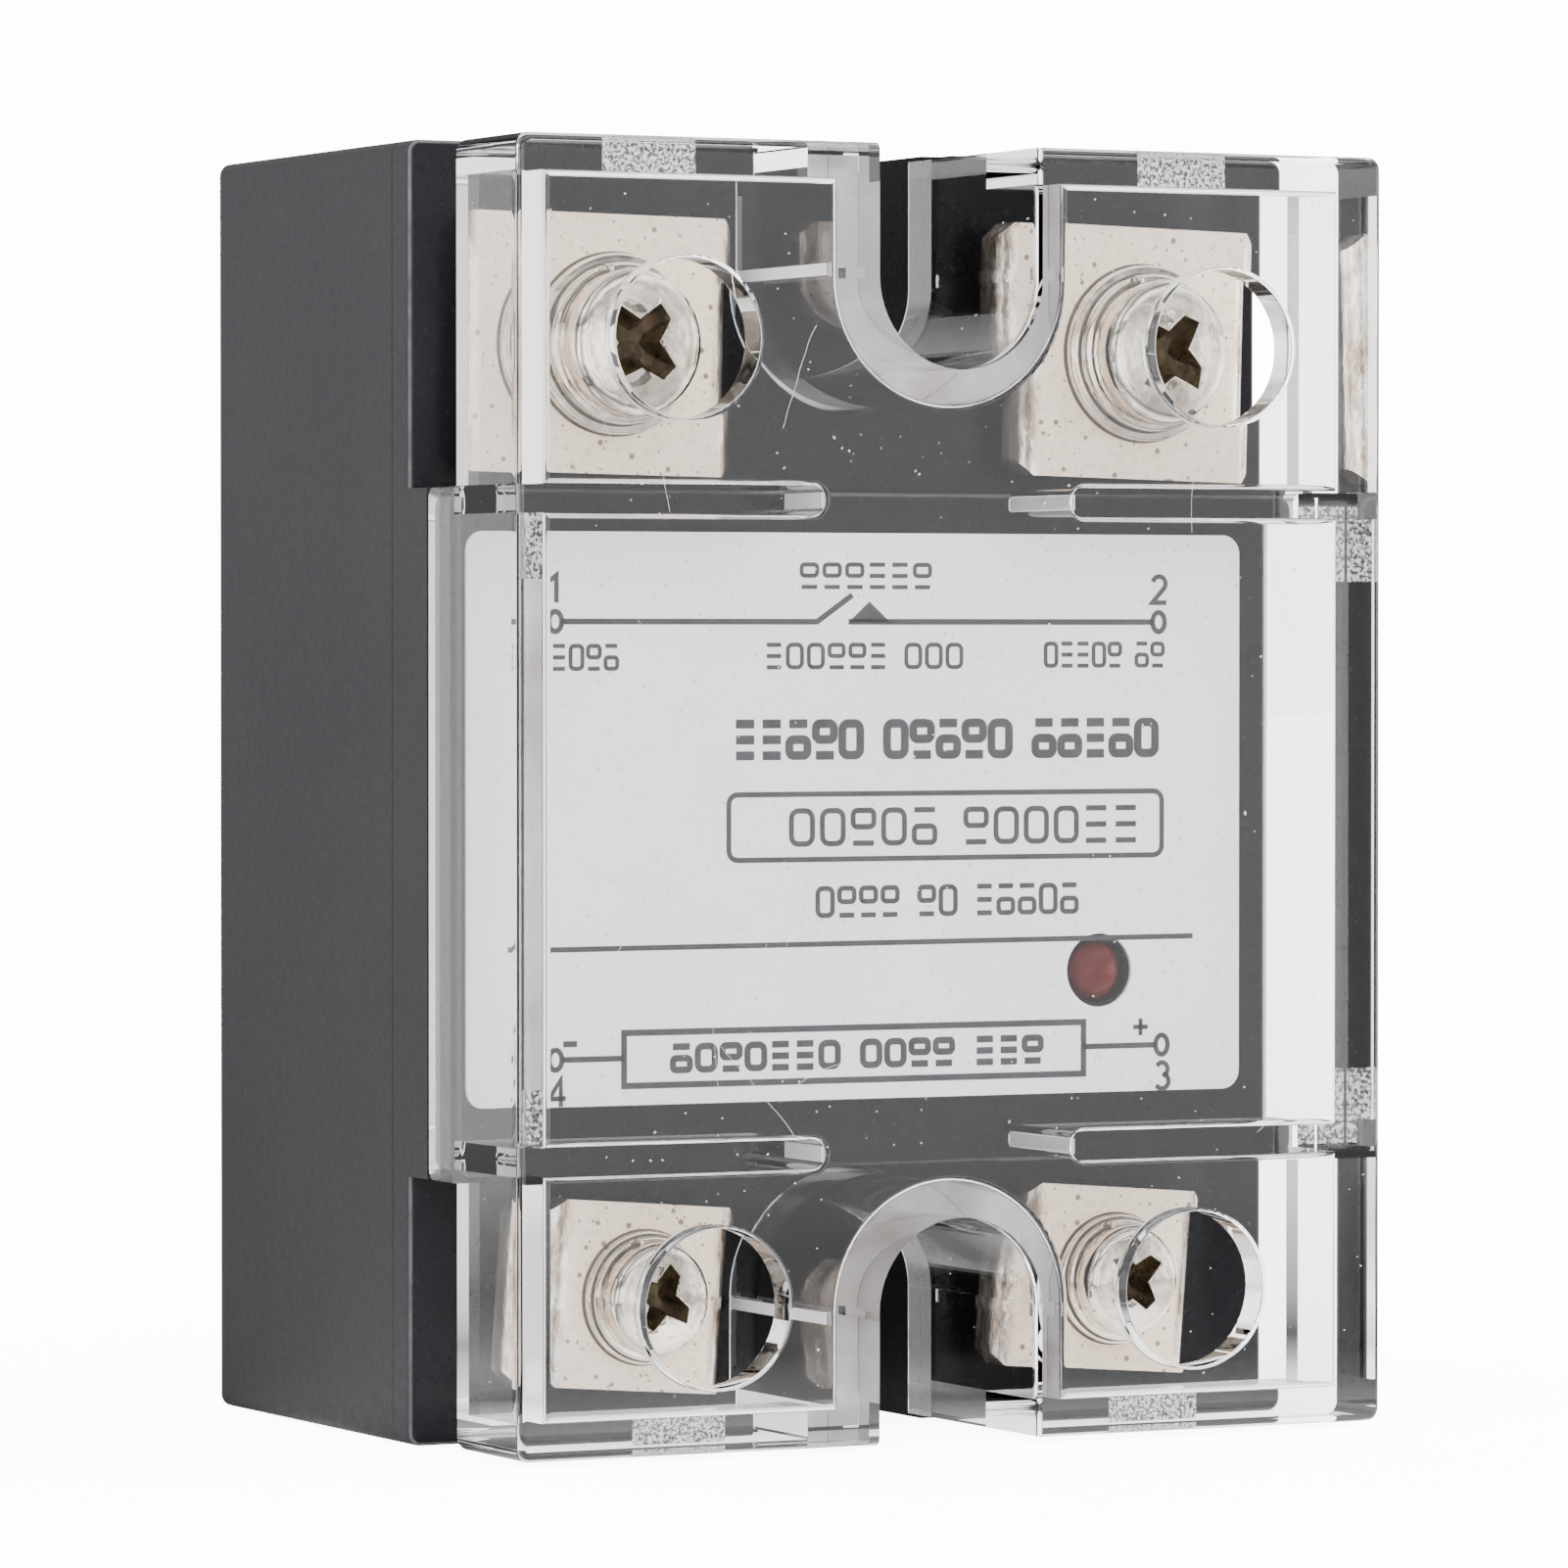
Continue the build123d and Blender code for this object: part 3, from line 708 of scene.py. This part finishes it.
def stroke(bm, points, width, closed=False, depths=INK_DEPTHS):
    """A printed line of constant width through (x, z) points, with mitred corners."""
    count = len(points)
    left, right = [], []
    for i, here in enumerate(points):
        before = points[i - 1] if (closed or i > 0) else None
        after = points[(i + 1) % count] if (closed or i < count - 1) else None
        normals = []
        for a, b in ((before, here), (here, after)):
            if a is None or b is None:
                continue
            run = Vector((b[0] - a[0], b[1] - a[1])).normalized()
            normals.append(Vector((-run.y, run.x)))
        side = sum(normals, Vector((0, 0))).normalized()
        side *= width / 2 / max(side.dot(normals[0]), 0.4)
        left.append((here[0] + side.x, here[1] + side.y))
        right.append((here[0] - side.x, here[1] - side.y))
    last = count if closed else count - 1
    for i in range(last):
        n = (i + 1) % count
        slab(bm, [left[i], left[n], right[n], right[i]], depths)


def arc(x, z, rx, rz, start, end, count=10):
    return [
        (x + rx * math.cos(math.radians(start + (end - start) * i / count)),
         z + rz * math.sin(math.radians(start + (end - start) * i / count)))
        for i in range(count + 1)
    ]


DIGIT_LINES = {
    "1": [[(-0.22, 0.3), (0.05, 0.5), (0.05, -0.5)]],
    "2": [arc(0, 0.22, 0.28, 0.28, 165, -30) + [(-0.3, -0.5), (0.32, -0.5)]],
    "3": [arc(-0.02, 0.25, 0.25, 0.25, 150, -80), arc(-0.02, -0.22, 0.29, 0.28, 85, -150)],
    "4": [[(0.14, -0.5), (0.14, 0.5), (-0.34, -0.2), (0.34, -0.2)]],
}


def draw_digit(bm, digit, x, z, height=1.25):
    for line in DIGIT_LINES[digit]:
        stroke(bm, [(x + px * height, z + pz * height) for px, pz in line], 0.23)


def draw_row(bm, x_span, z, height, words, weight, rng):
    """A row of plain boxes and bars, grouped like words, that spell nothing."""
    pitch = (x_span[1] - x_span[0]) / (sum(words) + 0.7 * (len(words) - 1))
    low, high = z - (height - weight) / 2, z + (height - weight) / 2
    x = x_span[0]
    for count in words:
        for _ in range(count):
            left, right = x + 0.16 * pitch, x + 0.84 * pitch
            kind = rng.choice("box bars lower upper".split())
            if kind == "bars":
                for level in (low, z, high):
                    stroke(bm, [(left, level), (right, level)], weight)
            else:
                bottom = low if kind != "upper" else z
                top = high if kind != "lower" else z
                corner = min(0.22 * pitch, 0.3 * (top - bottom))
                frame_box(bm, (left, right), (bottom, top), weight, corner)
            if kind == "lower":
                stroke(bm, [(left, high), (right, high)], weight)
            elif kind == "upper":
                stroke(bm, [(left, low), (right, low)], weight)
            x += pitch
        x += 0.7 * pitch


def frame_box(bm, x_span, z_span, width, corner=0.0):
    points = []
    for sx, sz, turn in ((1, -1, -90), (1, 1, 0), (-1, 1, 90), (-1, -1, 180)):
        cx = x_span[1] - corner if sx > 0 else x_span[0] + corner
        cz = z_span[1] - corner if sz > 0 else z_span[0] + corner
        points += arc(cx, cz, corner, corner, turn, turn + 90, 5) if corner else [(cx, cz)]
    stroke(bm, points, width, closed=True)


def oval(x, z, count=24):
    return arc(x, z, 0.33, 0.46, 0, 360 - 360 / count, count - 1)


def add_label_print():
    rng = random.Random(11)
    line = 0.27
    bm = bmesh.new()
    # switch symbol of the load side
    z = 7.95
    stroke(bm, [(-16.87, z), (-3.7, z), (-1.85, 9.2)], line)
    slab(bm, [(-2.05, z - 0.02), (0.15, z - 0.02), (-0.95, z + 0.95)], INK_DEPTHS)
    stroke(bm, [(-2.05, z), (14.24, z)], line)
    for x in (-17.2, 14.57):
        stroke(bm, oval(x, z), 0.25, closed=True)
    draw_digit(bm, "1", -17.2, 9.45)
    draw_digit(bm, "2", 14.6, 9.5)
    draw_row(bm, (-4.7, 2.45), 10.1, 1.25, (6,), 0.2, rng)
    draw_row(bm, (-17.45, -13.9), 6.3, 1.25, (4,), 0.2, rng)
    draw_row(bm, (-6.5, 4.1), 6.35, 1.25, (6, 3), 0.2, rng)
    draw_row(bm, (8.3, 14.95), 6.4, 1.25, (5, 2), 0.2, rng)
    # name panel
    draw_row(bm, (-8.15, 14.6), 2.45, 1.9, (5, 5, 5), 0.42, rng)
    frame_box(bm, (-8.3, 14.75), (-3.15, -0.1), 0.25, 0.45)
    draw_row(bm, (-5.3, 13.6), -1.65, 1.8, (5, 6), 0.26, rng)
    draw_row(bm, (-3.85, 10.3), -5.15, 1.5, (4, 2, 5), 0.24, rng)
    stroke(bm, [(-17.85, -7.15), (16.45, -7.05)], 0.25)
    # control side
    frame_box(bm, (-13.7, 10.5), (-13.5, -11.05), 0.3)
    draw_row(bm, (-11.4, 8.4), -12.28, 1.4, (7, 4, 3), 0.32, rng)
    for x, near in ((-17.2, -13.7), (14.75, 10.5)):
        inward = 0.33 if x < 0 else -0.33
        stroke(bm, oval(x, -12.22), 0.25, closed=True)
        stroke(bm, [(x + inward, -12.22), (near, -12.22)], line)
    stroke(bm, [(-16.8, -11.5), (-16.1, -11.5)], 0.28)
    stroke(bm, [(13.2, -11.35), (14.0, -11.35)], 0.22)
    stroke(bm, [(13.6, -11.75), (13.6, -10.95)], 0.22)
    draw_digit(bm, "4", -17.1, -13.75)
    draw_digit(bm, "3", 14.8, -13.7)
    link_mesh("label_print", bm, ("ink",), smooth=False, body="relay")


# ---------------------------------------------------------------- indicator
def add_indicator():
    low, high = LED_LOW / MM, LED_HIGH / MM
    x, z = (low.x + high.x) / 2, (low.z + high.z) / 2
    front, back = low.y - FRONT, high.y - FRONT
    radius = 1.49
    profile = [(0.0, front)]
    for i in range(1, 13):
        angle = math.radians(90 * i / 12)
        profile.append((radius * math.sin(angle), front + 1.2 * (1 - math.cos(angle))))
    profile += [(radius, back - 1.0), (1.88, back - 1.0), (1.88, back), (0.0, back)]
    bm = bmesh.new()
    lathe(bm, x, z, profile, closed=False)
    bmesh.ops.remove_doubles(bm, verts=bm.verts, dist=1e-7)
    link_mesh("indicator_lens", bm, ("red",), body="relay", replaces="indicator_led")


# ---------------------------------------------------------------- cover details
def add_frosted_patches():
    """Grainy rectangles on the back edges of the end walls and skirts, and a strip of painted light on the
    left one.
    """
    bm = bmesh.new()
    top, bottom = COVER_HIGH.z / MM, COVER_LOW.z / MM
    for number in TERMINALS:
        x, z = middle("terminal_screw_" + number).xz
        edge, inner = (top - 0.1, top - 1.55) if z > 0 else (bottom + 0.1, bottom + 1.55)
        cuboid(bm, (x - 2.35, x + 2.35), END_WALL_END, sorted((edge, inner)))
    for hand in (1, -1):
        for z_span in ((9.9, 13.5), (-17.1, -13.5)):
            cuboid(bm, sorted((hand * 20.98, hand * 22.4)), SKIRT_END, z_span)
    # painted light: a pale strip along the left skirt's back edge, on the left side only
    cuboid(bm, (-22.4, -21.6), SKIRT_END, (-13.5, 9.9), 1)
    link_mesh("frosted_patches", bm, ("frosted", "painted_light_film"), smooth=False, body="cover")


def add_notch_beads():
    """White strips on the left-hand beads beside the end notches, painted light for the bright backdrop the
    clear beads refract.
    """
    bm = bmesh.new()
    for side in (1, -1):
        cuboid(bm, (-6.1, -6.06), (2.5, 11.6), sorted((side * 23.85, side * 24.4)))
    link_mesh("notch_beads", bm, ("white",), smooth=False, body="cover")


def add_lining_ends():
    """Pale end faces of the notch linings, down in the housing's seats, painted light for the brightness the
    clear walls carry to their ends.
    """
    bm = bmesh.new()
    inner, outer = LINING_RADII
    front, back = LINING_END
    for side in (1, -1):
        rows = []
        sweep = [math.pi + math.pi * i / 36 for i in range(37)]
        path = [(math.cos(a), math.sin(a), NOTCH_CENTER_Z) for a in sweep]
        path = [(-1.0, 0.0, 29.8)] + path + [(1.0, 0.0, 29.8)]
        for across, up, base in path:
            row = []
            for radius, depth in ((outer, front), (inner, front), (inner, back), (outer, back)):
                row.append(bm.verts.new(point(radius * across, depth, side * (base + radius * up))))
            rows.append(row)
        for first, second in zip(rows, rows[1:]):
            for k in range(4):
                n = (k + 1) % 4
                bm.faces.new((first[k], first[n], second[n], second[k]))
        bm.faces.new(rows[0])
        bm.faces.new(rows[-1][::-1])
    link_mesh("lining_ends", bm, ("painted_light_film",), smooth=False, body="cover")


def add_rib_tips():
    """White end faces of the barrier ribs, painted light for the brightness their rounded clear ends show.
    """
    bm = bmesh.new()
    for level in RIB_LEVELS:
        for hand in (1, -1):
            xs = sorted((hand * 6.56, hand * 6.6))
            cuboid(bm, xs, (1.95, 8.1), (level - 0.36, level + 0.36))
    link_mesh("rib_tips", bm, ("white",), smooth=False, body="cover")


def clear_of_holes(x, z, margin=3.95):
    """Whether a place on the panel is off the four driver holes."""
    return all(
        math.hypot(x - middle("terminal_screw_" + n).x, z - middle("terminal_screw_" + n).z) > margin
        for n in TERMINALS
    )


def off_the_panel(x, z):
    """Whether a place is past the inside of the cover's walls, or in an end notch."""
    return abs(x) > 20.2 or abs(z) > 27.8 or (abs(x) < 6.8 and abs(z) > 17)


def add_dust():
    """Fine dust on the inside of the cover and on the housing below it."""
    rng = random.Random(5)
    layers = (
        ("cover_dust", "cover", "clear_plastic", PANEL_BACK + 0.04, 420),
        ("housing_dust", "relay", "housing_plastic", 11.95, 160),
    )
    for name, body, slot, depth, count in layers:
        bm = bmesh.new()
        made = 0
        while made < count:
            x, z = rng.uniform(-20.2, 20.2), rng.uniform(-27.8, 27.8)
            if abs(x) < 6.6 and abs(z) > 17:
                continue
            if body == "relay" and -18.5 < z < 15:
                continue
            if body == "cover" and not clear_of_holes(x, z):
                continue
            size = rng.uniform(0.022, 0.05) * (1.6 if rng.random() < 0.12 else 1.0)
            place = Matrix.Translation(point(x, depth, z))
            turn = Matrix.Rotation(rng.uniform(0, math.pi), 4, "Y")
            shape = Matrix.Diagonal((rng.uniform(0.7, 1.9), 0.35, 1, 1))
            bmesh.ops.create_icosphere(bm, subdivisions=1, radius=size * MM, matrix=place @ turn @ shape)
            made += 1
        link_mesh(name, bm, ("dust",), body=body)


def add_scratches():
    """Hair-thin curved scratches on the inside of the cover's panel."""
    rng = random.Random(21)
    bm = bmesh.new()
    for _ in range(22):
        x, z = rng.choice((-1, 1)) * rng.uniform(7.5, 18.5), rng.choice((-1, 1)) * rng.uniform(6, 26)
        heading = rng.uniform(0, math.pi)
        line = []
        for _ in range(rng.randint(8, 22)):
            if off_the_panel(x, z) or not clear_of_holes(x, z):
                break
            line.append((x, z))
            heading += rng.uniform(-0.12, 0.12)
            x += 0.28 * math.cos(heading)
            z += 0.28 * math.sin(heading)
        if len(line) > 3:
            stroke(bm, line, rng.uniform(0.01, 0.018), depths=(PANEL_BACK + 0.03, PANEL_BACK + 0.04))
    link_mesh("cover_scratches", bm, ("dust",), smooth=False, body="cover")


build_materials()
dress_nodes()
add_camera()
add_world()
add_floor()
for number in TERMINALS:
    add_screw(number)
    add_washers(number)
add_label_print()
add_indicator()
add_frosted_patches()
add_notch_beads()
add_lining_ends()
add_rib_tips()
add_dust()
add_scratches()
